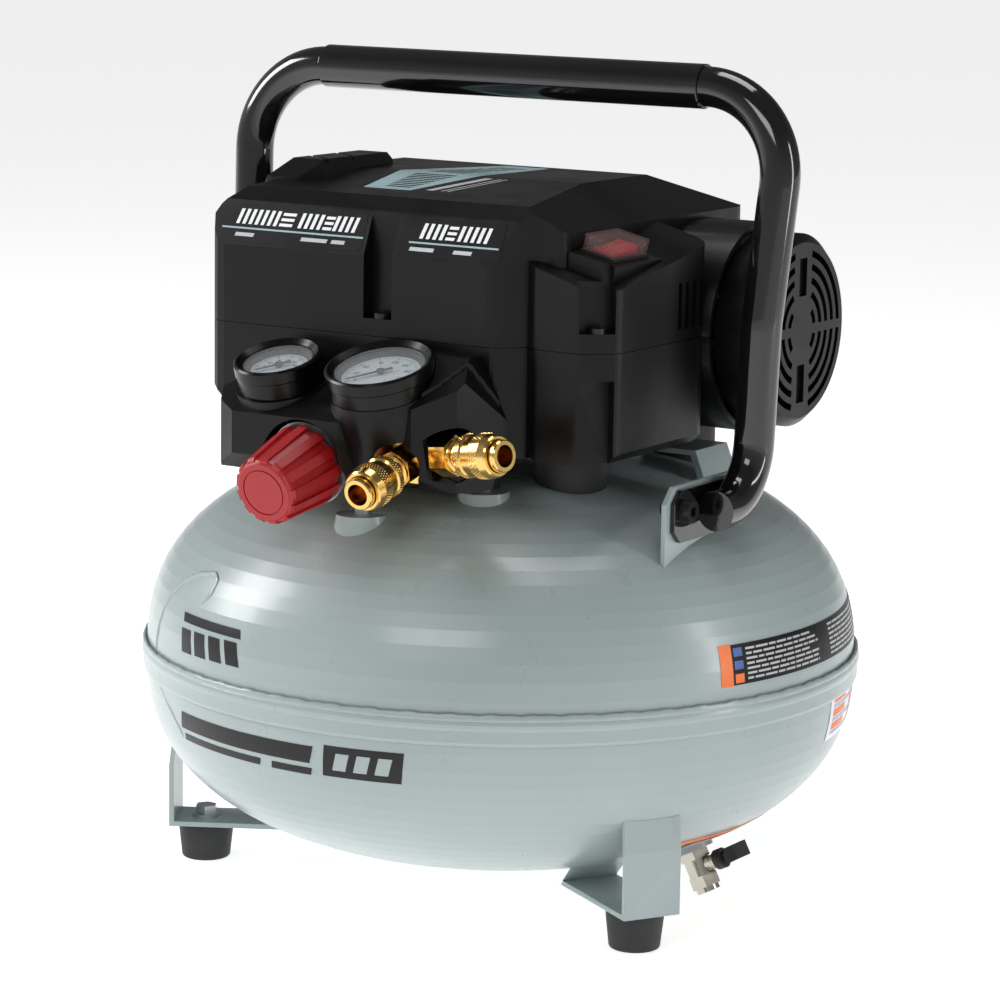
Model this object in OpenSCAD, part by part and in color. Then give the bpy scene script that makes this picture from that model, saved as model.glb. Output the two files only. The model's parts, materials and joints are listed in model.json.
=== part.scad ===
// Pancake air compressor.
// Units are millimetres. +Z is up, the front with the gauges faces -Y, the fan cowl faces +X.
// The origin is on the tank axis at floor level.

/* [Tank] */
// Outer radius of the tank shells
tank_radius = 210; // [180:1:240]
// Height of the welded seam above the floor
seam_height = 136; // [110:1:160]
// Rise of the upper dish above the seam
upper_rise = 122; // [90:1:140]
// Depth of the lower dish below the seam
lower_drop = 118; // [90:1:130]
// Fullness of the dish curve, 2 is an ellipse
dish_power = 2.45; // [2:0.05:3]
// Wall thickness of the steel shells
tank_wall = 2.5; // [1.5:0.1:5]
// How far the weld band stands out of the shells
seam_bulge = 3; // [1:0.5:5]

/* [Feet] */
// Angle of the first foot from the front, towards the right
first_foot_angle = 58; // [40:1:80]
// Radius of the circle the feet stand on
foot_circle = 177; // [150:1:190]
// Height of a rubber foot
foot_height = 22; // [14:1:35]
// Radius of a rubber foot at its top
foot_radius = 16.5; // [12:0.5:24]
// Width of a foot bracket strap
strap_width = 35; // [24:1:50]
// Thickness of bracket and saddle steel
strap_thickness = 3; // [2:0.5:5]

/* [Handle] */
// Outer radius of the handle tube
handle_tube_radius = 11.5; // [9:0.5:15]
// Outer radius of the sleeve on the top bar
handle_grip_radius = 12.8; // [10:0.1:18]
// Height of the top bar axis
handle_bar_height = 474; // [440:1:520]
// Half the distance between the legs at the top
handle_half_width_top = 183; // [150:1:195]
// Half the distance between the legs at the bottom
handle_half_width_foot = 171.5; // [160:0.5:190]
// Front-back position of the top bar
handle_bar_y = 2; // [-20:1:30]
// Front-back position of the lower legs
handle_leg_y = -11; // [-30:1:20]
// Height of the horizontal foot of the handle
handle_foot_height = 244; // [235:1:260]

/* [Pump housing] */
// Height of the split between the housing shells
split_height = 333; // [315:1:350]
// Underside of the housing
housing_floor = 271; // [268:1:276]
// Top deck of the housing
deck_height = 417; // [412:1:422]
// Front face of the housing
front_face_y = -118; // [-130:1:-100]
// Wall thickness of the housing
housing_wall = 3; // [2:0.5:5]

/* [Pump and motor] */
// Front-back position of the motor axis
motor_y = 58; // [40:1:70]
// Radius of the fan cowl
cowl_radius = 56; // [45:1:60]
// Crank throw, half of the stroke
crank_throw = 7; // [4:0.5:10]
// Bore radius of the cylinder
cylinder_bore = 25; // [18:0.5:30]

/* [Controls] */
// Forward tilt of the knob and the front coupler
control_tilt = 14; // [0:1:25]
// Forward tilt of the two gauges
gauge_tilt = 18; // [15:1:22]
// Outer radius of the tank gauge
tank_gauge_radius = 25.2; // [22:0.2:26]
// Outer radius of the outlet gauge
outlet_gauge_radius = 31; // [27:0.5:31.5]
// Pressure each needle starts from, degrees from the left stop
needle_start = 0; // [0:1:270]

/* [Hidden] */
$fn = 64;
motor_z = split_height;
crank_x = -10;
bracket_x = 154;
foot_angles = [first_foot_angle - 120, first_foot_angle, first_foot_angle + 120];

// Height of the upper dish surface above the point at distance r from the tank axis
function dish_top(r) =
    seam_height + upper_rise * pow(1 - pow(r / tank_radius, dish_power), 1 / dish_power);

// Points of a quarter dish from the rim to the axis
function dish_curve(radius, rise, steps) =
    [for (i = [0 : steps])
        let (a = 90 * i / steps)
        [i == steps ? 0 : radius * pow(cos(a), 2 / dish_power), rise * pow(sin(a), 2 / dish_power)]];

// Twice the signed area of a polygon
function area2(p, i = 0) =
    i == len(p) ? 0
    : p[i][0] * p[(i + 1) % len(p)][1] - p[(i + 1) % len(p)][0] * p[i][1] + area2(p, i + 1);

function unit(v) = v / norm(v);

// Moves every side of a counter-clockwise outline inwards
function inset(p, d) =
    [for (i = [0 : len(p) - 1])
        let (a = p[(i + len(p) - 1) % len(p)], b = p[i], c = p[(i + 1) % len(p)],
             u = unit(b - a), v = unit(c - b),
             nu = [-u[1], u[0]], nv = [-v[1], v[0]],
             m = nu + nv, k = m * m)
        b + m * (2 * d / k)];

// Rounds every corner of a counter-clockwise outline
function rounded(p, r, steps = 4) =
    [for (i = [0 : len(p) - 1])
        let (a = p[(i + len(p) - 1) % len(p)], b = p[i], c = p[(i + 1) % len(p)],
             u = unit(a - b), v = unit(c - b),
             half = acos(max(-1, min(1, u * v))) / 2,
             t = min(r / tan(half), norm(a - b) * 0.45, norm(c - b) * 0.45))
        for (s = [0 : steps])
            let (w = s / steps)
            (1 - w) * (1 - w) * (b + u * t) + 2 * w * (1 - w) * b + w * w * (b + v * t)];

module ring(outer, inner, height) {
    difference() {
        cylinder(r = outer, h = height);
        translate([0, 0, -1])
            cylinder(r = inner, h = height + 2);
    }
}

// Outline drawn in plan, extruded upwards
module plan_prism(outline, z0, z1) {
    translate([0, 0, z0])
        linear_extrude(height = z1 - z0)
            polygon(outline);
}

// Outline drawn in the YZ plane, extruded along X
module side_prism(outline, x0, x1) {
    translate([x0, 0, 0])
        rotate([90, 0, 90])
            linear_extrude(height = x1 - x0)
                polygon(outline);
}

// Outline drawn in the XZ plane, extruded along Y
module front_prism(outline, y0, y1) {
    translate([0, y1, 0])
        rotate([90, 0, 0])
            linear_extrude(height = y1 - y0)
                polygon(outline);
}

module box(x0, x1, y0, y1, z0, z1) {
    translate([x0, y0, z0])
        cube([x1 - x0, y1 - y0, z1 - z0]);
}

// Turns +Z onto a direction
module along(direction) {
    d = unit(direction);
    rotate([0, acos(d[2]), atan2(d[1], d[0])])
        children();
}

// Round bar through a list of points, every inner corner bent to its own radius.
// The straight lengths are a hair thinner and reach a little way into the bends.
module bent_bar(points, bend, radius) {
    n = len(points);
    thinner = 0.02;
    reach = 0.3;
    trims = [for (i = [0 : n - 1])
        i == 0 || i == n - 1 ? 0
        : let (u = unit(points[i - 1] - points[i]), v = unit(points[i + 1] - points[i]),
               half = acos(max(-1, min(1, u * v))) / 2)
          bend[i] / tan(half)];
    for (i = [0 : n - 2]) {
        d = unit(points[i + 1] - points[i]);
        before = i == 0 ? 0 : reach;
        after = i == n - 2 ? 0 : reach;
        start = points[i] + d * (trims[i] - before);
        length = norm(points[i + 1] - points[i]) - trims[i] - trims[i + 1] + before + after;
        translate(start)
            along(d)
                cylinder(r = radius - thinner, h = length);
    }
    for (i = [1 : n - 2]) {
        u = unit(points[i - 1] - points[i]);
        v = unit(points[i + 1] - points[i]);
        turn = 180 - acos(max(-1, min(1, u * v)));
        side = unit(cross(cross(u, v), u));
        middle = points[i] + u * trims[i] + side * bend[i];
        axis = unit(cross(-u, side));
        back = -side;
        ahead = cross(axis, back);
        multmatrix([
            [back[0], ahead[0], axis[0], middle[0]],
            [back[1], ahead[1], axis[1], middle[1]],
            [back[2], ahead[2], axis[2], middle[2]],
            [0, 0, 0, 1]])
            rotate_extrude(angle = turn)
                translate([bend[i], 0])
                    circle(r = radius);
    }
}

// Places its children at an angle from the front, towards the right, at a radius
module around(angle, radius) {
    rotate([0, 0, angle])
        translate([0, -radius, 0])
            children();
}

module control_frame(point) {
    translate(point)
        rotate([control_tilt, 0, 0])
            children();
}

module gauge_frame(point) {
    translate(point)
        rotate([gauge_tilt, 0, 0])
            children();
}

// ---------------------------------------------------------------- tank

seam_half = 8;
dish_steps = 22;

module tank_upper_shell() {
    outer = dish_curve(tank_radius, upper_rise, dish_steps);
    inner = dish_curve(tank_radius - tank_wall, upper_rise - tank_wall, dish_steps);
    count = len(inner);
    color([0.66, 0.71, 0.71])
        translate([0, 0, seam_height])
            rotate_extrude(angle = 360)
                polygon(concat(
                    [[tank_radius - tank_wall, -2], [tank_radius, -2]],
                    outer,
                    [for (i = [1 : count]) inner[count - i]]));
}

module tank_lower_shell() {
    outer = dish_curve(tank_radius, lower_drop - 2, dish_steps);
    inner = dish_curve(tank_radius - tank_wall, lower_drop - 2 - tank_wall, dish_steps);
    count = len(inner);
    lip = tank_radius - tank_wall - 0.7;
    color([0.66, 0.71, 0.71])
        translate([0, 0, seam_height - 2])
            rotate_extrude(angle = 360)
                polygon(concat(
                    [for (i = [0 : count - 1]) [inner[i][0], -inner[i][1]]],
                    [for (i = [1 : count]) [outer[count - i][0], -outer[count - i][1]]],
                    [[tank_radius, -0.1], [lip, -0.1], [lip, 8], [lip - tank_wall, 8],
                     [lip - tank_wall, -4]]));
}

module tank_seam_weld() {
    outer = tank_radius + seam_bulge;
    skin = tank_radius + 0.02;
    color([0.66, 0.71, 0.71])
        translate([0, 0, seam_height - 2])
            rotate_extrude(angle = 360)
                polygon([
                    [skin, -seam_half], [outer - 1.6, -seam_half + 0.6], [outer - 0.8, -seam_half + 2.4],
                    [outer - 0.9, 1], [outer - 0.2, 2.6], [outer, 4.4], [outer - 0.4, 6.2],
                    [outer - 1.4, seam_half - 0.4], [skin, seam_half + 0.4]]);
}

// ---------------------------------------------------------------- feet

strap_outer_y = -(foot_circle + 20);
strap_inner_y = -(foot_circle - 44);

module foot_bracket(angle) {
    t = strap_thickness;
    plate_z = foot_height;
    leg_top = 84;
    color([0.66, 0.71, 0.71])
        rotate([0, 0, angle])
            difference() {
                union() {
                    side_prism([
                        [strap_outer_y, plate_z], [strap_outer_y + 2, plate_z],
                        [strap_inner_y + 14, plate_z], [strap_inner_y, plate_z + 16],
                        [strap_inner_y, 56], [strap_inner_y - t, 56],
                        [strap_inner_y - t, plate_z + 17], [strap_inner_y + 12, plate_z + t],
                        [strap_outer_y + t, plate_z + t], [strap_outer_y + t, 60],
                        [strap_outer_y + t + 3, leg_top], [strap_outer_y + 3, leg_top],
                        [strap_outer_y, 60]],
                        -strap_width / 2, strap_width / 2);
                }
                translate([0, -foot_circle, plate_z - 1])
                    cylinder(r = 4.3, h = t + 2);
                rotate([0, 0, -angle])
                    tank_outer_body(0.05);
            }
}

// Solid bounded by the outside of the tank, grown by a gap, used to cut parts that sit on it
module tank_outer_body(gap) {
    r = tank_radius + gap;
    up = dish_curve(r, upper_rise + gap, dish_steps);
    down = dish_curve(r, lower_drop - 2 + gap, dish_steps);
    count = len(down);
    translate([0, 0, seam_height])
        rotate_extrude(angle = 360)
            polygon(concat(up, [for (i = [1 : count]) [down[count - i][0], -2 - down[count - i][1]]]));
}

module foot_bracket_left() {
    foot_bracket(foot_angles[0]);
}

module foot_bracket_right() {
    foot_bracket(foot_angles[1]);
}

module foot_bracket_rear() {
    foot_bracket(foot_angles[2]);
}

module rubber_foot(angle) {
    h = foot_height;
    color([0.13, 0.13, 0.13])
        around(angle, foot_circle)
            rotate_extrude(angle = 360)
                polygon([
                    [6.5, 0], [foot_radius - 3, 0], [foot_radius - 2, 1], [foot_radius, h - 3],
                    [foot_radius, h], [4.2, h], [4.2, 6], [6.5, 6]]);
}

module rubber_foot_left() {
    rubber_foot(foot_angles[0]);
}

module rubber_foot_right() {
    rubber_foot(foot_angles[1]);
}

module rubber_foot_rear() {
    rubber_foot(foot_angles[2]);
}

module foot_bolts() {
    top = foot_height + strap_thickness;
    color([0.75, 0.76, 0.78])
        for (a = foot_angles)
            around(a, foot_circle) {
                translate([0, 0, top])
                    cylinder(r = 8.5, h = 1.6);
                translate([0, 0, top + 1.6])
                    cylinder(r = 6.6, h = 5, $fn = 6);
                translate([0, 0, 7])
                    cylinder(r = 4, h = top - 5);
            }
}

// ---------------------------------------------------------------- handle

bracket_front_y = -82;
bracket_back_y = 8;

// Steel plate under one end of the handle, side 1 is the one turned to the back
module handle_bracket(side) {
    t = strap_thickness;
    color([0.66, 0.71, 0.71])
        difference() {
            side_prism([
                [bracket_front_y, 196], [bracket_back_y, 196], [bracket_back_y, 251],
                [bracket_back_y - 9, 259], [bracket_front_y + 9, 259], [bracket_front_y, 250]],
                bracket_x, bracket_x + t);
            translate([0, 2 * handle_leg_y * side, 0])
                tank_outer_body(0.05);
            for (p = handle_screw_points)
                translate([bracket_x - 1, p[0], p[1]])
                    rotate([0, 90, 0])
                        cylinder(r = 4.2, h = t + 2);
        }
}

// The left end of the handle is the right end turned half a turn about the line of the legs
module turned() {
    translate([0, 2 * handle_leg_y, 0])
        rotate([0, 0, 180])
            children();
}

module handle_bracket_right() {
    handle_bracket(0);
}

module handle_bracket_left() {
    turned()
        handle_bracket(1);
}

plate_x = bracket_x + strap_thickness;
plate_thickness = 3;
handle_screw_points = [[-66, 245], [-2, 243]];

module handle_end_plate() {
    side_prism([
        [bracket_front_y + 5, 234], [bracket_front_y + 12, 227.5], [bracket_back_y - 8, 227.5],
        [bracket_back_y - 1, 236], [bracket_back_y - 3, 250], [bracket_back_y - 9, 257],
        [bracket_front_y + 12, 257], [bracket_front_y + 5, 250]],
        plate_x, plate_x + plate_thickness);
}

module handle_end_plates() {
    color([0.07, 0.07, 0.07])
        difference() {
            for (side = [0, 1])
                handle_side(side)
                    difference() {
                        handle_end_plate();
                        for (p = handle_screw_points)
                            translate([plate_x - 1, p[0], p[1]])
                                rotate([0, 90, 0])
                                    cylinder(r = 4.2, h = plate_thickness + 2);
                    }
            tank_outer_body(0.3);
        }
}

module handle_side(side) {
    if (side == 0)
        children();
    else
        turned()
            children();
}

// Tube axis from the right foot over the top bar to the left foot
handle_right = [
    [handle_half_width_foot, -52, handle_foot_height],
    [handle_half_width_foot, handle_leg_y, handle_foot_height],
    [handle_half_width_foot + 4, handle_leg_y, 345],
    [handle_half_width_top, handle_bar_y, handle_bar_height]
];
handle_bends = [0, 34, 60, 50];
handle_left = [for (i = [0 : 3])
    let (p = handle_right[3 - i])
    [-p[0], i == 3 ? 2 * handle_leg_y - p[1] : p[1], p[2]]];
handle_path = concat(handle_right, handle_left);

module handle_tube() {
    color([0.05, 0.05, 0.05])
        bent_bar(handle_path, concat(handle_bends, [for (i = [0 : 3]) handle_bends[3 - i]]),
                 handle_tube_radius);
}

module handle_grip() {
    half = 129;
    color([0.05, 0.05, 0.05])
        translate([-half, handle_bar_y, handle_bar_height])
            rotate([0, 90, 0])
                rotate_extrude(angle = 360)
                    polygon([
                        [handle_tube_radius + 0.02, 0], [handle_grip_radius - 0.5, 0],
                        [handle_grip_radius, 0.6], [handle_grip_radius, 2 * half - 0.6],
                        [handle_grip_radius - 0.5, 2 * half], [handle_tube_radius + 0.02, 2 * half]]);
}

module handle_screws() {
    head_x = plate_x + plate_thickness;
    color([0.1, 0.1, 0.1])
        for (side = [0, 1], p = handle_screw_points)
            handle_side(side)
                translate([0, p[0], p[1]])
                    rotate([0, 90, 0]) {
                        difference() {
                            translate([0, 0, head_x])
                                cylinder(r = 6.3, h = 5.5);
                            translate([0, 0, head_x + 2.5])
                                cylinder(r = 3.2, h = 5, $fn = 6);
                        }
                        translate([0, 0, bracket_x - 8])
                            cylinder(r = 3.9, h = head_x - bracket_x + 8.5);
                        translate([0, 0, bracket_x - 6])
                            cylinder(r = 6.8, h = 6, $fn = 6);
                    }
}

// ---------------------------------------------------------------- drain

drain_point = [131, 0, 37];
drain_lean = 28;
drain_stem_at = 17;
lever_lift = 15;

module drain_frame() {
    translate(drain_point)
        rotate([0, 180 - drain_lean, 0])
            children();
}

module drain_boss() {
    color([0.66, 0.71, 0.71])
        difference() {
            drain_frame()
                translate([0, 0, -10])
                    ring(13, 6.5, 17);
            tank_outer_body(0.05);
        }
}

module drain_valve_body() {
    color([0.72, 0.72, 0.70])
        difference() {
            drain_frame() {
                translate([0, 0, 2])
                    cylinder(r = 6.4, h = 8);
                translate([0, 0, 7.1])
                    cylinder(r = 10, h = 5, $fn = 6);
                translate([0, 0, 11])
                    cylinder(r = 7.8, h = 14);
                translate([0, 0, 22])
                    cylinder(r = 9.6, h = 7, $fn = 6);
                translate([0, 0, 28])
                    cylinder(r = 7, h = 4);
                translate([-6, 0, drain_stem_at])
                    rotate([0, -90, 0])
                        cylinder(r = 4.4, h = 7);
            }
            drain_frame() {
                translate([0, 0, 24])
                    cylinder(r = 4.5, h = 10);
                translate([0, 0, drain_stem_at])
                    rotate([0, -90, 0])
                        cylinder(r = 2.56, h = 20);
            }
            tank_outer_body(0.05);
        }
}

module drain_valve_lever() {
    color([0.06, 0.06, 0.06])
        drain_frame()
            translate([0, 0, drain_stem_at])
                rotate([0, -90, 0]) {
                    translate([0, 0, 8])
                        cylinder(r = 2.5, h = 10);
                    translate([0, 0, 13.4])
                        cylinder(r = 6, h = 5);
                    translate([0, 0, 18])
                        cylinder(r = 3.6, h = 2.4, $fn = 6);
                    lever_blade();
                }
}

module lever_blade() {
    translate([-4.5, 0, 14])
        rotate([90, 0, 90])
            linear_extrude(height = 9)
                polygon([[0, 0], [14, 0], [26, 3], [26, 6], [14, 3.4], [0, 3.4]]);
}

module panel_weld_bosses() {
    color([0.70, 0.75, 0.74])
        difference() {
            for (p = [[-2.5, -144.5], [49, -99]])
                translate([p[0], p[1], dish_top(norm(p))]) {
                    translate([0, 0, -14])
                        cylinder(r1 = 17, r2 = 14.5, h = 16);
                    cylinder(r = 4, h = 255.6 - dish_top(norm(p)));
                }
            tank_outer_body(0.05);
        }
}

// ---------------------------------------------------------------- pump supports

pillar_points = [[76, -50], [-76, -50], [72, 84], [-104, 84]];

module pump_saddle() {
    t = strap_thickness;
    half = 116;
    color([0.66, 0.71, 0.71])
        difference() {
            front_prism([
                [-half - 14, 230], [-half - 9, 230], [-half + 2, 259.6], [half - 2, 259.6],
                [half + 9, 230], [half + 14, 230], [half + 1, 259.6 + t], [-half - 1, 259.6 + t]],
                22, 60);
            tank_outer_body(0.05);
            translate([-66, 85, 200])
                cylinder(r = 14, h = 100);
        }
}

module rubber_pillars() {
    color([0.06, 0.06, 0.06])
        difference() {
            for (p = pillar_points)
                translate([p[0], p[1], 236])
                    ring(21, 8, housing_floor - 236 - 0.05);
            tank_outer_body(0.05);
            box(-140, 140, 21.5, 60.5, 236, 263);
        }
}

// ---------------------------------------------------------------- housing

main_plan = [[-130, front_face_y], [66, front_face_y], [84, -98], [98, -98], [98, 112], [-130, 112]];
lobe_plan = [[76, -102], [86, -108], [116, -109], [132, -94], [133, 4], [76, 4]];
main_side = [
    [front_face_y + 6, housing_floor], [104, housing_floor], [130, housing_floor + 26], [130, 378],
    [116, 394], [54, deck_height], [-20, deck_height], [-96, deck_height - 7], [-108, deck_height - 14],
    [front_face_y, 378], [front_face_y - 3, 366], [-150, 350], [-150, housing_floor + 20]];
main_front = [
    [-96, housing_floor - 1], [112, housing_floor - 1], [112, 380], [98, 397], [60, deck_height + 1],
    [-108, deck_height + 1], [-126, 400], [-140, 376], [-140, 330], [-130, housing_floor + 27]];
lobe_front = [[70, housing_floor], [124, housing_floor], [140, housing_floor + 12], [140, 410], [70, 410]];

// Everything below a tilted plane
module below_plane(point, normal) {
    size = 400;
    translate(point)
        along(normal)
            translate([-size / 2, -size / 2, -size])
                cube(size);
}

module housing_main(d) {
    intersection() {
        plan_prism(inset(rounded(main_plan, 12), d), housing_floor - 2, deck_height + 2);
        side_prism(inset(main_side, d), -150, 150);
        front_prism(inset(main_front, d), -150, 150);
    }
}

module housing_lobe(d) {
    intersection() {
        plan_prism(inset(rounded(lobe_plan, 9), d), housing_floor + d, 415);
        front_prism(inset(lobe_front, d), -150, 60);
        below_plane([128, -108, 366.5 - d], [0.286, -0.19, 1]);
    }
}

module housing_barrel(d) {
    translate([80, motor_y, motor_z])
        rotate([0, 90, 0])
            cylinder(r = cowl_radius + 5 - d, h = d > 0 ? 60 : 58);
}

module housing_outside(d) {
    housing_main(d);
    housing_lobe(d);
    housing_barrel(d);
}

switch_point = [111, -66, 384];
switch_tilt = 13;

module switch_frame() {
    translate(switch_point)
        rotate([0, switch_tilt, 0])
            children();
}

module switch_pad(grow) {
    switch_frame()
        box(-17 - grow, 17 + grow, -27 - grow, 25 + grow, -22, grow);
}

// Screw pockets of the housing: front groove and corner notch above the split, corner notch below
module pocket_front(grow) {
    box(-21 - grow, -2 + grow, front_face_y - 20, front_face_y + 9 + grow, 343 - grow, 420);
}

module pocket_corner(grow, z0, z1) {
    translate([123, -101, z0 - grow])
        rotate([0, 0, -42])
            translate([-8 - grow, -11 - grow, 0])
                cube([40, 20 + 2 * grow, z1 - z0 + 2 * grow]);
}

// Raised corner of the deck with two slanted grooves
module deck_lump() {
    difference() {
        intersection() {
            plan_prism(rounded([
                [-124, -74], [-98, -74], [-88, -56], [-88, 10], [-98, 26], [-124, 26]], 7), 396, 424);
            side_prism([[-74, 396], [26, 396], [26, 408], [10, 424], [-58, 424], [-74, 414]], -140, -60);
            front_prism([[-124, 396], [-84, 396], [-92, 424], [-112, 424], [-124, 408]], -90, 40);
        }
        housing_outside(0.4);
        for (y = [-44, -18])
            translate([-106, y, 421.4])
                rotate([0, 0, -32])
                    box(-30, 30, -1.6, 1.6, 0, 10);
    }
}

module louvers() {
    for (i = [0 : 3])
        box(100, 138, -30 + i * 8, -26.6 + i * 8, 340, 366);
}

module housing_shell() {
    difference() {
        union() {
            difference() {
                housing_outside(0);
                housing_outside(housing_wall);
            }
            intersection() {
                housing_outside(0);
                union() {
                    pocket_front(2.4);
                    pocket_corner(2.4, 344, 400);
                    pocket_corner(2.4, 240, 318);
                }
            }
            difference() {
                switch_pad(0);
                housing_outside(housing_wall);
            }
        }
        pocket_front(0);
        pocket_corner(0, 344, 400);
        pocket_corner(0, 240, 318);
        louvers();
        switch_frame()
            box(-9.3, 9.3, -16.3, 16.3, -40, 10);
        for (p = housing_screw_points)
            translate(p)
                cylinder(r = 2.6, h = 60, center = true);
        translate([-66, 85, 250])
            cylinder(r = 12, h = 30);
        for (p = pillar_points)
            translate([p[0], p[1], 250])
                cylinder(r = 4, h = 30);
        translate([-84, 100, 300])
            rotate([-90, 0, 0])
                cylinder(r = 7.6, h = 30);
    }
}

housing_screw_points = [[-11.5, front_face_y + 4.5, 343], [121, -99, 344]];

module housing_top() {
    color([0.13, 0.13, 0.13]) {
        intersection() {
            housing_shell();
            box(-200, 200, -200, 200, split_height + 0.3, 460);
        }
        deck_lump();
    }
}

module housing_bottom() {
    color([0.12, 0.12, 0.12])
        intersection() {
            housing_shell();
            box(-200, 200, -200, 200, 200, split_height);
        }
}

module housing_screws() {
    color([0.6, 0.6, 0.62])
        for (p = housing_screw_points)
            translate(p) {
                difference() {
                    cylinder(r = 4.2, h = 3);
                    translate([0, 0, 1.4])
                        cylinder(r = 2, h = 3, $fn = 6);
                }
                translate([0, 0, -22])
                    cylinder(r = 2.4, h = 23);
            }
}

cowl_x0 = 138.3;
cowl_x1 = 165;

module fan_cowl() {
    depth = cowl_x1 - cowl_x0;
    color([0.10, 0.10, 0.10])
        translate([cowl_x0, motor_y, motor_z])
            rotate([0, 90, 0])
                difference() {
                    rotate_extrude(angle = 360)
                        polygon([
                            [cowl_radius - 3, 0], [cowl_radius, 0], [cowl_radius, depth - 5],
                            [cowl_radius - 5, depth], [0, depth], [0, depth - 3.5],
                            [cowl_radius - 6, depth - 3.5], [cowl_radius - 3, depth - 7]]);
                    for (band = [0 : 4], side = [0, 180])
                        rotate([0, 0, side])
                            arc_slot(13.5 + band * 7.4, 3.8, depth);
                    for (s = [-1, 1])
                        translate([s * 31 - 11, -4.5, depth - 2.6])
                            cube([22, 9, 5]);
                }
}

// Arc slot through the cowl face, leaving the middle strip and the seam rib
module arc_slot(radius, width, depth) {
    strip = asin(min(1, 10 / radius));
    rib = asin(min(1, 2.5 / radius));
    sweep = 90 - strip - rib;
    for (half = [0, 1])
        mirror([half, 0, 0])
            translate([0, 0, depth - 8])
                linear_extrude(height = 12)
                    polygon(concat(
                        [for (i = [0 : 8]) let (a = strip + sweep * i / 8)
                            [radius * cos(a), radius * sin(a)]],
                        [for (i = [0 : 8]) let (a = 90 - rib - sweep * i / 8)
                            [(radius + width) * cos(a), (radius + width) * sin(a)]]));
}

// ---------------------------------------------------------------- pump inside

module motor_axis(x) {
    translate([x, motor_y, motor_z])
        rotate([0, 90, 0])
            children();
}

case_x0 = -44;
case_x1 = 36;
neck_top = 363;

module crankcase() {
    color([0.62, 0.63, 0.64])
        difference() {
            union() {
                motor_axis(case_x0)
                    cylinder(r = 38, h = case_x1 - case_x0);
                motor_axis(case_x1 - 8)
                    cylinder(r = 46, h = 8);
                translate([crank_x, motor_y, 350])
                    cylinder(r = 31, h = neck_top + 5 - 350);
                box(case_x0, case_x0 + 12, motor_y - 30, motor_y + 30, housing_floor + 3.05, 310);
                box(case_x1 - 12, case_x1, motor_y - 30, motor_y + 30, housing_floor + 3.05, 310);
            }
            motor_axis(case_x0 + 4)
                cylinder(r = 34, h = case_x1 - case_x0 - 14);
            translate([crank_x, motor_y, motor_z])
                cylinder(r = cylinder_bore + 0.6, h = 60);
            motor_axis(case_x1 - 9)
                cylinder(r = 13.02, h = 20);
            motor_axis(case_x1 - 12)
                cylinder(r = 6, h = 20);
            box(case_x0 - 1, case_x1 + 1, motor_y - 60, motor_y + 60, neck_top, neck_top + 40);
        }
}

module motor_stator() {
    color([0.45, 0.45, 0.47]) {
        motor_axis(50)
            ring(44, 23, 42);
        motor_axis(case_x1 + 0.05)
            ring(46, 44, 72);
        difference() {
            motor_axis(104)
                ring(45, 13.02, 7);
            for (i = [0 : 5])
                motor_axis(100)
                    rotate([0, 0, i * 60])
                        translate([29, 0, 0])
                            cylinder(r = 9, h = 20);
        }
    }
    color([0.72, 0.40, 0.18])
        for (x = [44, 92])
            motor_axis(x)
                ring(38, 26, 6);
}

module motor_rotor() {
    color([0.55, 0.55, 0.57]) {
        motor_axis(0)
            cylinder(r = 5, h = 132);
        motor_axis(50)
            ring(22.4, 5, 42);
        motor_axis(38)
            ring(11, 5, 9);
    }
}

module cooling_fan() {
    color([0.08, 0.08, 0.08]) {
        motor_axis(114)
            ring(12, 5.02, 16);
        motor_axis(114)
            ring(46, 11.5, 2);
        for (i = [0 : 8])
            motor_axis(115.9)
                rotate([0, 0, i * 40])
                    translate([11, -1, 0])
                        cube([35, 2, 13]);
    }
}

module shaft_bearings() {
    color([0.75, 0.76, 0.78])
        for (x = [case_x1 - 8.5, 104])
            motor_axis(x)
                ring(13, 5.04, 7);
}

module crank_eccentric() {
    color([0.50, 0.50, 0.52]) {
        motor_axis(-4)
            difference() {
                cylinder(r = 16, h = 12);
                translate([0, 0, 3.9])
                    cylinder(r = 5.02, h = 10);
            }
        translate([0, 0, crank_throw])
            motor_axis(-16)
                cylinder(r = 5, h = 12.5);
    }
}

barrel_height = 20;

module cylinder_barrel() {
    color([0.68, 0.69, 0.70])
        translate([crank_x, motor_y, neck_top + 0.05]) {
            ring(30.5, cylinder_bore, barrel_height);
            for (i = [0 : 2])
                translate([0, 0, 3 + i * 5.5])
                    ring(37, 30, 2);
        }
}

module cylinder_head() {
    head_z = neck_top + barrel_height + 0.1;
    color([0.66, 0.67, 0.68]) {
        translate([crank_x, motor_y, head_z])
            cylinder(r = 34, h = 12);
        intersection() {
            translate([crank_x, motor_y, head_z + 11.9])
                cylinder(r = 29, h = 5);
            for (i = [-4 : 4])
                box(crank_x + i * 7.4 - 1.2, crank_x + i * 7.4 + 1.2, motor_y - 40, motor_y + 40,
                    head_z, head_z + 24);
        }
        translate([crank_x, motor_y, head_z + 6.5])
            rotate([0, -90, 0])
                ring(6, 4.03, 41);
    }
}

rod_top = motor_z + crank_throw + 35;

module piston_rod() {
    color([0.74, 0.75, 0.76]) {
        translate([0, 0, crank_throw])
            motor_axis(crank_x - 5)
                ring(24, 20, 9);
        box(crank_x - 4, crank_x + 3, motor_y - 6, motor_y + 6, rod_top - 13.2, rod_top + 1);
        translate([crank_x, motor_y, rod_top])
            cylinder(r = cylinder_bore - 0.3, h = 7);
    }
}

pipe_x = -68;
pipe_y = 85;

module discharge_pipe() {
    z = neck_top + barrel_height + 6.6;
    color([0.72, 0.45, 0.25])
        bent_bar([
            [crank_x - 36, motor_y, z], [pipe_x, motor_y, z], [pipe_x, pipe_y, 350],
            [pipe_x, pipe_y, 300]], [0, 11, 11, 0], 4);
}

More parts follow.
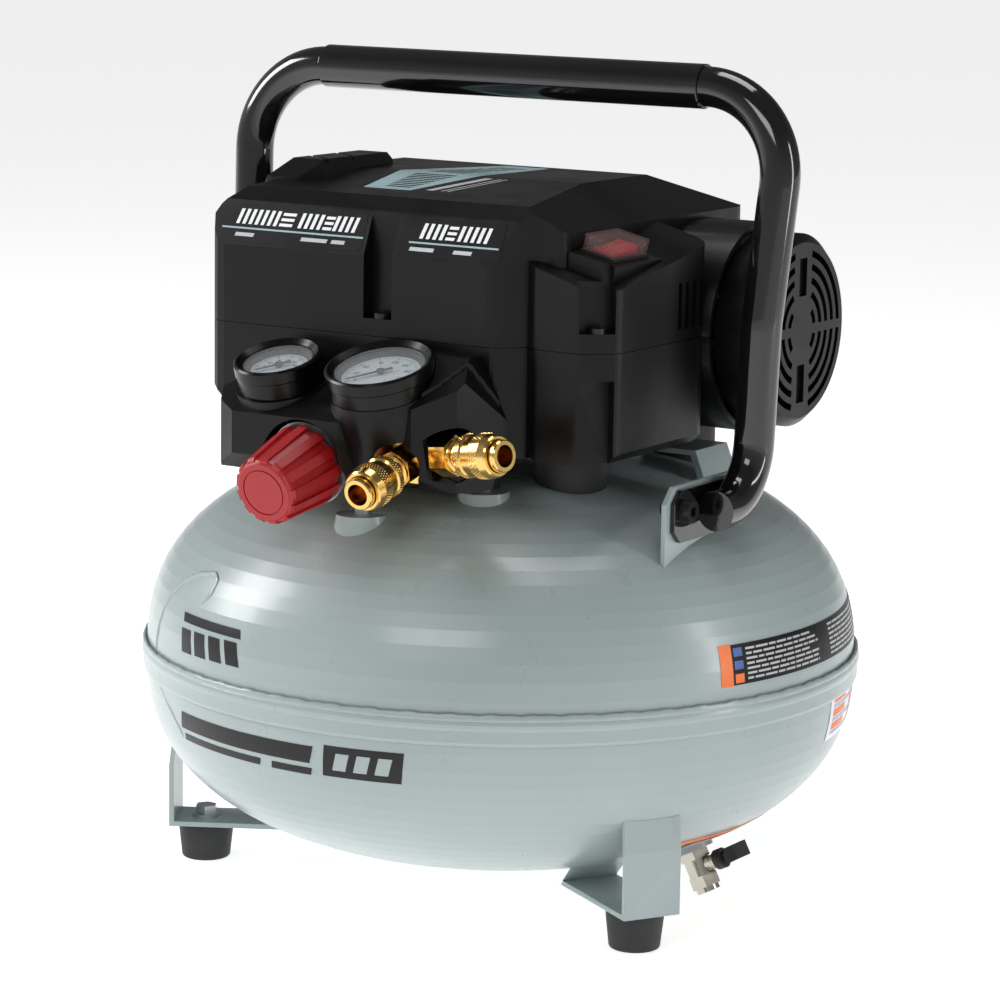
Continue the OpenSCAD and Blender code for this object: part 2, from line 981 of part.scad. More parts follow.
module check_valve() {
    base = dish_top(norm([pipe_x, pipe_y]));
    color([0.78, 0.62, 0.30])
        difference() {
            union() {
                translate([pipe_x, pipe_y, base - 8])
                    cylinder(r = 8, h = 22);
                translate([pipe_x, pipe_y, base + 22 - 10])
                    cylinder(r = 11, h = 9, $fn = 6);
                translate([pipe_x, pipe_y, base + 20])
                    cylinder(r = 7.5, h = 292 - base - 20);
                translate([pipe_x, pipe_y, 290])
                    cylinder(r = 9.4, h = 8, $fn = 6);
            }
            tank_outer_body(0.05);
            translate([pipe_x, pipe_y, 299.9 - 8])
                cylinder(r = 4.03, h = 20);
        }
}

module pressure_switch() {
    color([0.10, 0.10, 0.11]) {
        box(-92, -50, -98, -52, housing_floor + 3.05, 318);
        translate([-71, -75, 317.9])
            cylinder(r = 12, h = 7);
    }
}

module cord_inlet() {
    color([0.05, 0.05, 0.05])
        translate([-84, 107, 300])
            rotate([-90, 0, 0])
                difference() {
                    union() {
                        cylinder(r = 7.5, h = 16);
                        translate([0, 0, 5.1])
                            cylinder(r = 12, h = 4);
                        translate([0, 0, 9])
                            cylinder(r1 = 9.5, r2 = 7, h = 14);
                    }
                    translate([0, 0, -1])
                        cylinder(r = 4.4, h = 30);
                }
}

// ---------------------------------------------------------------- power switch

module power_switch_body() {
    color([0.05, 0.05, 0.05])
        switch_frame()
            difference() {
                union() {
                    box(-9.1, 9.1, -16.1, 16.1, -26, 0.5);
                    box(-11.5, 11.5, -18.5, 18.5, 0.05, 1.6);
                }
                box(-7, 7, -14.4, 14.4, -9, 3);
                translate([-8.6, 0, 0])
                    rotate([0, 90, 0])
                        cylinder(r = 1.54, h = 17.2);
            }
}

module power_rocker() {
    color([0.75, 0.05, 0.06])
        switch_frame() {
            side_prism([
                [-13.4, -2], [-3, -6], [3, -6], [13.4, 1.5], [13.2, 6], [0, 3.4], [-13.2, 3]],
                -6.6, 6.6);
            translate([-8.4, 0, 0])
                rotate([0, 90, 0])
                    cylinder(r = 1.5, h = 16.8);
        }
}

module switch_cover() {
    color([0.75, 0.70, 0.70, 0.5])
        switch_frame()
            difference() {
                box(-10.6, 10.6, -17.6, 17.6, 1.65, 10.5);
                box(-9.4, 9.4, -16.4, 16.4, 1, 9.3);
            }
}

// ---------------------------------------------------------------- control cluster

control_point = [0, -138, 271];
knob_x = -27.5;
coupler_x = 30;
coupler_seat = 12;
coupler_rise = 2;
right_coupler_point = [50.9, -145.9, 275.4];
right_coupler_lift = 7;
right_coupler_turn = 11;
tank_gauge_point = [-57.5, -150, 322];
outlet_gauge_point = [11.5, -150, 324.5];
tank_gauge_depth = 17;
outlet_gauge_depth = 15.8;

module forward(x, t, rise = 0) {
    control_frame(control_point)
        translate([x, -t, rise])
            rotate([90, 0, 0])
                children();
}

module panel_left_block(d) {
    intersection() {
        plan_prism(inset([
            [-98, -118.5], [-100.5, -138], [-86, -164], [-74, -170],
            [-2, -170], [8, -156], [8, -118.5]], d), 230, 340);
        side_prism(inset([
            [-172, 270], [-160, 256], [-112, 256], [-112, 311], [-128, 310], [-160, 299], [-172, 290]], d),
            -110, 20);
        front_prism(inset([
            [-101, 276], [-88, 258], [12, 258], [12, 314], [-84, 310], [-101, 294]], d), -180, -110);
    }
}

module panel_right_block(d) {
    intersection() {
        plan_prism(inset([
            [4, -118.5], [4, -150], [40, -160], [62, -148], [76, -118.5]], d), 230, 345);
        side_prism(inset([
            [-164, 268], [-150, 256], [-112, 252], [-112, 336], [-122, 336], [-164, 298]], d), -10, 110);
        front_prism(inset([
            [-4, 258], [30, 258], [52, 252], [72, 256], [77, 292], [58, 328], [-4, 330]], d), -180, -110);
    }
}

module panel_outside(d) {
    panel_left_block(d);
    panel_right_block(d);
    intersection() {
        union() {
            gauge_frame(outlet_gauge_point)
                translate([0, 0, -74])
                    cylinder(r = outlet_gauge_radius - 0.2 - d, h = 58);
            gauge_frame(tank_gauge_point)
                translate([0, 0, -42])
                    cylinder(r = tank_gauge_radius + 1 - d, h = 24.8);
        }
        box(-96, 60, -190, -118.5 - d, 256 + d, 340);
    }
}

// Row of short raised ribs on the sloped shoulder beside the outlet gauge
module panel_ribs() {
    intersection() {
        panel_right_block(-1.4);
        for (i = [0 : 6])
            translate([43 + i * 3.6, -151 + i * 4.2, 296])
                rotate([0, 0, 40])
                    box(-2, 9, -0.9, 0.9, 0, 50);
        box(0, 76, -170, -118.5, 296, 336);
    }
}

module control_panel() {
    color([0.12, 0.12, 0.12])
        difference() {
            union() {
                panel_outside(0);
                panel_ribs();
            }
            panel_outside(2.6);
            box(-86, 60, -146, -122, 240, 262);
            forward(knob_x, 16)
                cylinder(r = 27, h = 40);
            forward(knob_x, 4)
                cylinder(r = 17, h = 20);
            forward(coupler_x, 8, coupler_rise)
                cylinder(r = 14.5, h = 40);
            right_coupler_frame()
                translate([0, 0, -2])
                    cylinder(r = 15.2, h = 60);
            relief_frame()
                cylinder(r = 9.5, h = 60);
            gauge_room(tank_gauge_point, tank_gauge_radius, tank_gauge_depth);
            gauge_room(outlet_gauge_point, outlet_gauge_radius, outlet_gauge_depth);
        }
}

// Space of a gauge and its stem, cut out of the panel
module gauge_room(point, radius, depth) {
    gauge_frame(point) {
        translate([0, 0, -30])
            cylinder(r = 12, h = 40);
        translate([0, 0, -depth - 0.1])
            cylinder(r = radius + 0.4, h = 60);
    }
}

module manifold_block(gap) {
    control_frame(control_point) {
        box(-70 - gap, 46 + gap, -8 - gap, 8 + gap, -9 - gap, 9 + gap);
        box(18 - gap, 46 + gap, -coupler_seat - gap, 8 + gap, -10 - gap, 16 + gap);
    }
}

module manifold() {
    color([0.75, 0.60, 0.30])
        difference() {
            union() {
                manifold_block(0);
                right_coupler_frame()
                    translate([0, 0, -9])
                        cylinder(r = 8.5, h = 8.95);
            }
            control_frame(control_point)
                translate([-60, 0, 0])
                    rotate([0, 90, 0])
                        cylinder(r = 3, h = 100);
        }
}

module regulator_body() {
    color([0.30, 0.30, 0.31])
        forward(knob_x, 8.05) {
            cylinder(r = 15, h = 10);
            translate([0, 0, 9.9])
                cylinder(r = 24.5, h = 6);
            translate([0, 0, 15.8])
                cylinder(r = 5, h = 13.9);
        }
}

module regulator_knob() {
    length = 42;
    count = 13;
    color([0.72, 0.06, 0.07])
        forward(knob_x, 26)
            difference() {
                union() {
                    rotate_extrude(angle = 360)
                        polygon([
                            [5.06, 0], [21.5, 0], [22, 2], [18.5, length - 2], [16.5, length],
                            [0, length], [0, 12], [5.06, 12]]);
                    for (i = [0 : count - 1])
                        rotate([0, 0, i * 360 / count])
                            rotate_lobe(length);
                }
                translate([0, 0, length - 0.8])
                    ring(13.4, 12.6, 3);
            }
}

// One grip rib of the knob
module rotate_lobe(length) {
    rotate([90, 0, 0])
        translate([0, 0, -2.6])
            linear_extrude(height = 5.2)
                polygon([[14, 0.5], [23.6, 0.5], [23.8, 3], [19.8, length - 3], [18.4, length - 1],
                         [12, length - 1]]);
}

module gauge_case(point, radius, depth) {
    inside = radius - gauge_bezel;
    color([0.05, 0.05, 0.05])
        difference() {
            gauge_frame(point)
                rotate_extrude(angle = 360)
                    polygon([
                        [0, -depth], [radius - 0.8, -depth], [radius - 0.8, -8], [radius, -7.2],
                        [radius, -1.2], [radius - 1, -0.2], [radius - 1.8, 0], [radius - 5, -2.4],
                        [radius - 5.4, -5.6], [inside, -6.4], [inside, -8], [0, -8]]);
            box(-200, 200, -118.4, -50, 200, 400);
        }
    color([0.70, 0.58, 0.30])
        difference() {
            gauge_frame(point)
                translate([0, 0, -gauge_stem(point)])
                    cylinder(r = 5.5, h = gauge_stem(point) - depth + 0.5);
            manifold_block(0.02);
        }
}

// Width of the black rim between the outer edge and the dial
gauge_bezel = 8.6;

// Distance along a gauge axis from its face to a point inside the manifold
function gauge_stem(point) = (point[2] - control_point[2] - 2) / cos(gauge_tilt);

module gauge_dial(point, radius) {
    color([0.93, 0.93, 0.90])
        gauge_frame(point)
            translate([0, 0, -7.95])
                ring(radius - gauge_bezel - 0.2, 1.6, 0.8);
}

module gauge_needle(point, radius) {
    tip = radius - gauge_bezel - 3;
    color([0.05, 0.05, 0.05])
        gauge_frame(point)
            rotate([0, 0, 135 - needle_start]) {
                translate([0, 0, -7.9])
                    cylinder(r = 1.2, h = 3);
                translate([0, 0, -6])
                    cylinder(r = 2.4, h = 1.2);
                translate([0, 0, -5.8])
                    linear_extrude(height = 0.6)
                        polygon([[-1.1, -7], [1.1, -7], [0.5, tip], [-0.5, tip]]);
            }
}

module gauge_lens(point, radius) {
    color([0.85, 0.9, 0.92, 0.3])
        gauge_frame(point)
            translate([0, 0, -4.4])
                cylinder(r = radius - 5.45, h = 1.4);
}

module tank_gauge_case() {
    gauge_case(tank_gauge_point, tank_gauge_radius, tank_gauge_depth);
}

module tank_gauge_dial() {
    gauge_dial(tank_gauge_point, tank_gauge_radius);
}

module tank_gauge_needle() {
    gauge_needle(tank_gauge_point, tank_gauge_radius);
}

module tank_gauge_lens() {
    gauge_lens(tank_gauge_point, tank_gauge_radius);
}

module outlet_gauge_case() {
    gauge_case(outlet_gauge_point, outlet_gauge_radius, outlet_gauge_depth);
}

module outlet_gauge_dial() {
    gauge_dial(outlet_gauge_point, outlet_gauge_radius);
}

module outlet_gauge_needle() {
    gauge_needle(outlet_gauge_point, outlet_gauge_radius);
}

module outlet_gauge_lens() {
    gauge_lens(outlet_gauge_point, outlet_gauge_radius);
}

// ---------------------------------------------------------------- couplers

coupler_length = 48;

module coupler_body() {
    tip = coupler_length;
    color([0.80, 0.62, 0.25])
        difference() {
            union() {
                cylinder(r = 11.6, h = 12, $fn = 6);
                rotate_extrude(angle = 360)
                    polygon([
                        [0, 11], [9.8, 11], [9.8, 14], [8.4, 15], [8.4, tip - 5], [9, tip - 3.6],
                        [9, tip - 1], [8.4, tip], [0, tip]]);
            }
            translate([0, 0, tip - 26])
                cylinder(r = 6.2, h = 27);
            translate([0, 0, -1])
                cylinder(r = 3, h = 40);
        }
}

module coupler_sleeve() {
    color([0.83, 0.66, 0.28])
        translate([0, 0, 19])
            rotate_extrude(angle = 360)
                polygon([
                    [8.7, 0], [11.2, 0], [12, 0.8], [12, 4.6], [11, 5.4], [11, 11], [12.4, 12],
                    [12.4, 19], [11.6, 23.4], [10.8, 24.4], [9.4, 24.4], [9.4, 22.6], [8.7, 20.8]]);
}

module front_coupler_frame() {
    forward(coupler_x, coupler_seat + 0.05, coupler_rise)
        rotate([0, 0, 30])
            children();
}

module right_coupler_frame() {
    translate(right_coupler_point)
        rotate([0, 90 - right_coupler_lift, -right_coupler_turn])
            children();
}

module coupler_front_body() {
    front_coupler_frame()
        coupler_body();
}

module coupler_front_sleeve() {
    front_coupler_frame()
        coupler_sleeve();
}

module coupler_right_body() {
    right_coupler_frame()
        coupler_body();
}

module coupler_right_sleeve() {
    right_coupler_frame()
        coupler_sleeve();
}

// ---------------------------------------------------------------- relief valve

module relief_frame() {
    translate([-70.05, control_point[1], control_point[2]])
        rotate([0, -90, 0])
            children();
}

module relief_valve_body() {
    color([0.78, 0.64, 0.32])
        relief_frame()
            difference() {
                union() {
                    cylinder(r = 7, h = 5, $fn = 6);
                    translate([0, 0, 4.9])
                        cylinder(r = 5, h = 14);
                }
                translate([0, 0, 6])
                    cylinder(r = 1.6, h = 20);
            }
}

module relief_valve_ring() {
    color([0.75, 0.76, 0.78])
        relief_frame() {
            translate([0, 0, 8])
                cylinder(r = 1.3, h = 13.6);
            translate([0, 0, 27.5])
                rotate([90, 0, 0])
                    rotate_extrude(angle = 360)
                        translate([6.4, 0])
                            circle(r = 0.9);
        }
}

// ---------------------------------------------------------------- assembly
tank_upper_shell();
tank_lower_shell();
tank_seam_weld();
foot_bracket_left();
foot_bracket_right();
foot_bracket_rear();
rubber_foot_left();
rubber_foot_right();
rubber_foot_rear();
foot_bolts();
handle_bracket_left();
handle_bracket_right();
handle_tube();
handle_grip();
handle_end_plates();
handle_screws();
drain_boss();
drain_valve_body();
drain_valve_lever();
panel_weld_bosses();
pump_saddle();
rubber_pillars();
housing_bottom();
housing_top();
housing_screws();
fan_cowl();
crankcase();
motor_stator();
motor_rotor();
cooling_fan();
crank_eccentric();
shaft_bearings();
cylinder_barrel();
cylinder_head();
piston_rod();
discharge_pipe();
check_valve();
pressure_switch();
power_switch_body();
power_rocker();
switch_cover();
cord_inlet();
control_panel();
manifold();
regulator_body();
regulator_knob();
tank_gauge_case();
tank_gauge_dial();
tank_gauge_needle();
tank_gauge_lens();
outlet_gauge_case();
outlet_gauge_dial();
outlet_gauge_needle();
outlet_gauge_lens();
coupler_front_body();
coupler_front_sleeve();
coupler_right_body();
coupler_right_sleeve();
relief_valve_body();
relief_valve_ring();
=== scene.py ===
"""Looks of the pancake air compressor: materials, trim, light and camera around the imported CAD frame."""
import json
import math

import bpy
from mathutils import Matrix, Vector


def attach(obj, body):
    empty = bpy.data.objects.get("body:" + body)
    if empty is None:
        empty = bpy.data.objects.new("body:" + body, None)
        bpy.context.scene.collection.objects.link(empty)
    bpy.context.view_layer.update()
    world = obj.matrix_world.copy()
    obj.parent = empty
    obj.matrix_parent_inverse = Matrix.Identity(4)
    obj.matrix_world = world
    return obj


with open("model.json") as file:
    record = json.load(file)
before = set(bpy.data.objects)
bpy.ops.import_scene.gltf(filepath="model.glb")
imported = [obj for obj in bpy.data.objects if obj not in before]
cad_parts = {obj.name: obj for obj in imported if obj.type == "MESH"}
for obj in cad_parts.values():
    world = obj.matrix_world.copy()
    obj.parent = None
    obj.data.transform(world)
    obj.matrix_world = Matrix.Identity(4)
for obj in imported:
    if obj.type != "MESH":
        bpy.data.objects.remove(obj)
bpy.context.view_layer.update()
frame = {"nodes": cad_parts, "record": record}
nodes = frame["nodes"]

MM = 0.001
BASE = "tank_and_pump"


# ---------------------------------------------------------------- camera

def add_camera():
    """Camera at the viewing angle of the part, a little above the gauges."""
    data = bpy.data.cameras.new("camera")
    data.lens = 129.8
    data.sensor_width = 36.0
    cam = bpy.data.objects.new("camera", data)
    bpy.context.scene.collection.objects.link(cam)
    place = Vector((1.1141, -1.7829, 0.6056))
    aim = Vector((-0.0015, -0.0009, 0.2239))
    turn = (aim - place).to_track_quat("-Z", "Y").to_matrix().to_4x4()
    roll = Matrix.Rotation(math.radians(0.93), 4, "Z")
    cam.matrix_world = Matrix.Translation(place) @ turn @ roll
    bpy.context.scene.camera = cam


add_camera()


# ---------------------------------------------------------------- materials

def new_material(name):
    mat = bpy.data.materials.new(name)
    mat.use_nodes = True
    tree = mat.node_tree
    tree.nodes.clear()
    out = tree.nodes.new("ShaderNodeOutputMaterial")
    bsdf = tree.nodes.new("ShaderNodeBsdfPrincipled")
    tree.links.new(bsdf.outputs["BSDF"], out.inputs["Surface"])
    return mat, tree, bsdf


def noise(tree, scale, detail=4.0, rough=0.6, stretch=(1, 1, 1)):
    """Noise in object space, which is the row frame in metres."""
    coord = tree.nodes.new("ShaderNodeTexCoord")
    mapping = tree.nodes.new("ShaderNodeMapping")
    mapping.inputs["Scale"].default_value = stretch
    tex = tree.nodes.new("ShaderNodeTexNoise")
    tex.inputs["Scale"].default_value = scale
    tex.inputs["Detail"].default_value = detail
    tex.inputs["Roughness"].default_value = rough
    tree.links.new(coord.outputs["Object"], mapping.inputs["Vector"])
    tree.links.new(mapping.outputs["Vector"], tex.inputs["Vector"])
    return tex.outputs["Fac"]


def ramp(tree, fac, low, high, a, b):
    """Maps fac from low..high onto a..b."""
    node = tree.nodes.new("ShaderNodeMapRange")
    node.inputs["From Min"].default_value = low
    node.inputs["From Max"].default_value = high
    node.inputs["To Min"].default_value = a
    node.inputs["To Max"].default_value = b
    tree.links.new(fac, node.inputs["Value"])
    return node.outputs["Result"]


def mix_colour(tree, fac, a, b):
    node = tree.nodes.new("ShaderNodeMix")
    node.data_type = "RGBA"
    node.inputs["A"].default_value = (*a, 1)
    node.inputs["B"].default_value = (*b, 1)
    tree.links.new(fac, node.inputs["Factor"])
    return node.outputs["Result"]


def add_bump(tree, bsdf, heights):
    """heights: list of (field, strength, distance in metres), chained."""
    normal = None
    for field, strength, distance in heights:
        node = tree.nodes.new("ShaderNodeBump")
        node.inputs["Strength"].default_value = strength
        node.inputs["Distance"].default_value = distance
        tree.links.new(field, node.inputs["Height"])
        if normal is not None:
            tree.links.new(normal, node.inputs["Normal"])
        normal = node.outputs["Normal"]
    tree.links.new(normal, bsdf.inputs["Normal"])


def surface(name, dark, light, rough, metallic=0.0, patch=9.0, grain=900.0, grain_depth=0.00004,
            grain_strength=0.25, coat=0.0, coat_rough=0.1, stretch=(1, 1, 1), wave=0.0, ior=1.5, gleam=0.5):
    """A finish with slow colour drift, fine roughness variation and a grain in the normals."""
    mat, tree, bsdf = new_material(name)
    slow = noise(tree, patch, 3.0, 0.55)
    fine = noise(tree, grain, 5.0, 0.6, stretch)
    smudge = noise(tree, patch * 5, 6.0, 0.65)
    tree.links.new(mix_colour(tree, ramp(tree, slow, 0.3, 0.7, 0.0, 1.0), dark, light),
                   bsdf.inputs["Base Color"])
    tree.links.new(ramp(tree, smudge, 0.3, 0.7, rough[0], rough[1]), bsdf.inputs["Roughness"])
    bsdf.inputs["Metallic"].default_value = metallic
    bsdf.inputs["IOR"].default_value = ior
    bsdf.inputs["Specular IOR Level"].default_value = gleam
    bsdf.inputs["Coat Weight"].default_value = coat
    bsdf.inputs["Coat Roughness"].default_value = coat_rough
    heights = [(fine, grain_strength, grain_depth)]
    if wave:
        heights.append((noise(tree, 60.0, 2.0, 0.5), wave, 0.0006))
    add_bump(tree, bsdf, heights)
    return mat


def clear_plastic(name, tint, rough, alpha):
    mat, tree, bsdf = new_material(name)
    bsdf.inputs["Base Color"].default_value = (*tint, 1)
    bsdf.inputs["IOR"].default_value = 1.45
    bsdf.inputs["Alpha"].default_value = alpha
    fine = noise(tree, 250.0, 4.0)
    tree.links.new(ramp(tree, fine, 0.3, 0.7, rough[0], rough[1]), bsdf.inputs["Roughness"])
    add_bump(tree, bsdf, [(fine, 0.05, 0.00003)])
    return mat


FINISHES = {
    "tank_paint": surface("tank_paint", (0.315, 0.380, 0.378), (0.345, 0.410, 0.408), (0.26, 0.36),
                          grain=420.0, grain_depth=0.00006, grain_strength=0.10, coat=0.25,
                          coat_rough=0.16, wave=0.03),
    "foot_rubber": surface("foot_rubber", (0.010, 0.010, 0.010), (0.018, 0.018, 0.018), (0.50, 0.70),
                           grain=700.0, grain_strength=0.35),
    "zinc_steel": surface("zinc_steel", (0.55, 0.56, 0.57), (0.66, 0.67, 0.69), (0.25, 0.42), 1.0,
                          grain=600.0, grain_strength=0.2),
    "handle_paint": surface("handle_paint", (0.003, 0.003, 0.003), (0.005, 0.005, 0.005), (0.08, 0.14),
                            grain=350.0, grain_strength=0.05, coat=0.5, coat_rough=0.04, wave=0.015),
    "black_steel": surface("black_steel", (0.012, 0.012, 0.012), (0.02, 0.02, 0.02), (0.3, 0.45), 0.4),
    "nickel": surface("nickel", (0.50, 0.47, 0.40), (0.63, 0.59, 0.51), (0.16, 0.30), 1.0,
                      grain=500.0, grain_strength=0.12),
    "black_nylon": surface("black_nylon", (0.006, 0.006, 0.006), (0.012, 0.012, 0.012), (0.35, 0.5)),
    "housing_plastic": surface("housing_plastic", (0.0016, 0.0016, 0.0018), (0.0034, 0.0034, 0.0036),
                               (0.30, 0.42), grain=1500.0, grain_depth=0.00005, grain_strength=0.40,
                               gleam=0.24),
    "cast_alloy": surface("cast_alloy", (0.48, 0.49, 0.50), (0.60, 0.61, 0.62), (0.40, 0.6), 0.9,
                          grain=900.0, grain_strength=0.4),
    "motor_steel": surface("motor_steel", (0.33, 0.33, 0.34), (0.42, 0.42, 0.44), (0.3, 0.5), 0.9),
    "copper_pipe": surface("copper_pipe", (0.55, 0.27, 0.14), (0.66, 0.36, 0.20), (0.22, 0.4), 1.0),
    "brass": surface("brass", (0.72, 0.44, 0.13), (0.85, 0.58, 0.20), (0.12, 0.22), 1.0,
                     grain=400.0, grain_strength=0.08),
    "red_plastic": surface("red_plastic", (0.34, 0.005, 0.008), (0.43, 0.009, 0.012), (0.34, 0.46),
                           grain=1100.0, grain_strength=0.22),
    "rocker_plastic": surface("rocker_plastic", (0.55, 0.01, 0.02), (0.65, 0.02, 0.03), (0.15, 0.25)),
    "clear_cover": clear_plastic("clear_cover", (0.26, 0.16, 0.16), (0.10, 0.20), 0.22),
    "regulator_metal": surface("regulator_metal", (0.25, 0.25, 0.26), (0.35, 0.35, 0.36), (0.3, 0.45), 0.8),
    "gauge_black": surface("gauge_black", (0.0015, 0.0015, 0.0015), (0.003, 0.003, 0.003), (0.20, 0.30),
                           grain=900.0, grain_strength=0.10, gleam=0.25),
    "dial_white": surface("dial_white", (0.36, 0.41, 0.44), (0.44, 0.49, 0.52), (0.4, 0.5),
                          grain_strength=0.03),
    "needle_black": surface("needle_black", (0.006, 0.006, 0.006), (0.012, 0.012, 0.012), (0.35, 0.45)),
    "gauge_glass": clear_plastic("gauge_glass", (0.92, 0.96, 0.98), (0.01, 0.03), 0.10),
}

# Finishes of the printed and painted trim
INK = surface("ink_black", (0.006, 0.006, 0.007), (0.012, 0.012, 0.013), (0.28, 0.40), grain_strength=0.08,
              gleam=0.3)
LABEL_BLACK = surface("label_black", (0.0015, 0.0015, 0.0015), (0.003, 0.003, 0.003), (0.34, 0.46),
                      grain_strength=0.05, gleam=0.2)
WHITE = surface("print_white", (0.74, 0.75, 0.76), (0.86, 0.87, 0.88), (0.35, 0.5), grain_strength=0.05)
TEAL = surface("print_teal", (0.28, 0.42, 0.45), (0.36, 0.50, 0.53), (0.30, 0.42), grain_strength=0.05)
ORANGE = surface("print_orange", (0.78, 0.13, 0.010), (0.88, 0.18, 0.018), (0.32, 0.46), grain_strength=0.05)
BLUE = surface("print_blue", (0.02, 0.08, 0.30), (0.03, 0.11, 0.38), (0.32, 0.46), grain_strength=0.05)
GREY_TEXT = surface("print_grey", (0.42, 0.43, 0.44), (0.55, 0.56, 0.57), (0.35, 0.5), grain_strength=0.05)


def dress_frame():
    """Gives every CAD node the finish of its material slot."""
    slots = {s["node"]: s["material_slot"] for s in frame["record"]["subparts"]}
    for name, obj in nodes.items():
        obj.data.materials.clear()
        obj.data.materials.append(FINISHES[slots[name]])


dress_frame()


def soften(names, width, segments=2, angle=32):
    """Welds the split corners of a CAD node and rounds its edges."""
    for name in names:
        obj = nodes[name]
        weld = obj.modifiers.new("weld", "WELD")
        weld.merge_threshold = 0.00001
        bevel = obj.modifiers.new("bevel", "BEVEL")
        bevel.width = width
        bevel.segments = segments
        bevel.limit_method = "ANGLE"
        bevel.angle_limit = math.radians(angle)
        bevel.harden_normals = True
        bevel.use_clamp_overlap = True


soften(["housing_top", "housing_bottom", "control_panel"], 0.0016, 3, 12)
soften(["foot_bracket_left", "foot_bracket_right", "foot_bracket_rear", "handle_bracket_left",
        "handle_bracket_right", "pump_saddle", "handle_end_plates"], 0.0006)
soften(["fan_cowl"], 0.0006, 2, 30)
soften(["regulator_knob"], 0.0005, 2, 25)
soften(["power_rocker", "switch_cover", "drain_valve_lever", "rubber_foot_left", "rubber_foot_right",
        "rubber_foot_rear"], 0.0005, 2, 30)


# ---------------------------------------------------------------- trim pieces

def add_mesh(name, verts, faces, mat, smooth=False):
    """A piece from points in millimetres."""
    data = bpy.data.meshes.new(name)
    data.from_pydata([tuple(c * MM for c in v) for v in verts], [], faces)
    data.update()
    obj = bpy.data.objects.new(name, data)
    bpy.context.scene.collection.objects.link(obj)
    obj.data.materials.append(mat)
    for poly in data.polygons:
        poly.use_smooth = smooth
    return obj


class Sheet:
    """Collects thin solid patches of one finish, so that each label stays one piece."""

    def __init__(self, name, mat):
        self.name = name
        self.mat = mat
        self.verts = []
        self.faces = []

    def prism(self, low, high):
        """Closed solid between two loops of the same length."""
        n = len(low)
        start = len(self.verts)
        self.verts += list(low) + list(high)
        self.faces.append([start + i for i in reversed(range(n))])
        self.faces.append([start + n + i for i in range(n)])
        for i in range(n):
            j = (i + 1) % n
            self.faces.append([start + i, start + j, start + n + j, start + n + i])

    def grid(self, rows_low, rows_high):
        """Closed curved patch from two grids of points."""
        m, n = len(rows_low), len(rows_low[0])
        start = len(self.verts)
        for rows in (rows_low, rows_high):
            for row in rows:
                self.verts += row
        half = m * n
        for r in range(m - 1):
            for c in range(n - 1):
                k = start + r * n + c
                self.faces.append([k, k + n, k + n + 1, k + 1])
                k += half
                self.faces.append([k, k + 1, k + n + 1, k + n])
        edge = list(range(n)) + [r * n + n - 1 for r in range(1, m)]
        edge += [(m - 1) * n + c for c in range(n - 2, -1, -1)] + [r * n for r in range(m - 2, 0, -1)]
        for i, a in enumerate(edge):
            b = edge[(i + 1) % len(edge)]
            self.faces.append([start + a, start + b, start + half + b, start + half + a])

    def finish(self, body=BASE, smooth=False):
        obj = add_mesh(self.name, self.verts, self.faces, self.mat, smooth)
        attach(obj, body)
        return obj


def plane_map(origin, across, up, lift):
    """Map from flat label coordinates in mm to the model, lifted off the surface."""
    origin, across, up = Vector(origin), Vector(across).normalized(), Vector(up).normalized()
    out = across.cross(up)

    def place(x, y, more=0.0):
        return tuple(origin + across * x + up * y + out * (lift + more))
    return place


def flat_patch(sheet, place, outline, low=0.0, high=0.12):
    sheet.prism([place(x, y, low) for x, y in outline], [place(x, y, high) for x, y in outline])


def bar(x, y, w, h, lean=0.0):
    return [(x, y), (x + w, y), (x + w + lean * h, y + h), (x + lean * h, y + h)]


# Shape of the tank shells, the same curve as in the CAD source
TANK_R, SEAM, RISE, DROP, POWER = 210.0, 136.0, 122.0, 116.0, 2.45


def tank_radius_at(z):
    part = (z - SEAM) / RISE if z > SEAM else (SEAM - 2 - z) / DROP
    part = min(max(part, 0.0), 0.999)
    return TANK_R * (1 - part ** POWER) ** (1 / POWER)


def tank_point(angle, z, lift):
    """Point on the tank: angle in degrees from the front towards the right."""
    dz = 0.5
    r = tank_radius_at(z)
    slope = (tank_radius_at(z - dz) - tank_radius_at(z + dz)) / (2 * dz)
    n = Vector((1.0, slope)).normalized()
    r += n[0] * lift
    a = math.radians(angle)
    return (r * math.sin(a), -r * math.cos(a), z + n[1] * lift)


def tank_patch(sheet, a0, a1, z0, z1, lean=0.0, rise=0.0, low=0.05, high=0.2):
    """Curved patch between two angles and two heights, leaning and climbing as it goes."""
    cols = max(2, int(abs(a1 - a0) / 1.5) + 2)
    rows = max(2, int(abs(z1 - z0) / 3) + 2)

    def grid(lift):
        out = []
        for r in range(rows):
            t = r / (rows - 1)
            row = []
            for c in range(cols):
                u = c / (cols - 1)
                row.append(tank_point(a0 + (a1 - a0) * u + lean * t, z0 + (z1 - z0) * t + rise * u, lift))
            out.append(row)
        return out
    sheet.grid(grid(low), grid(high))


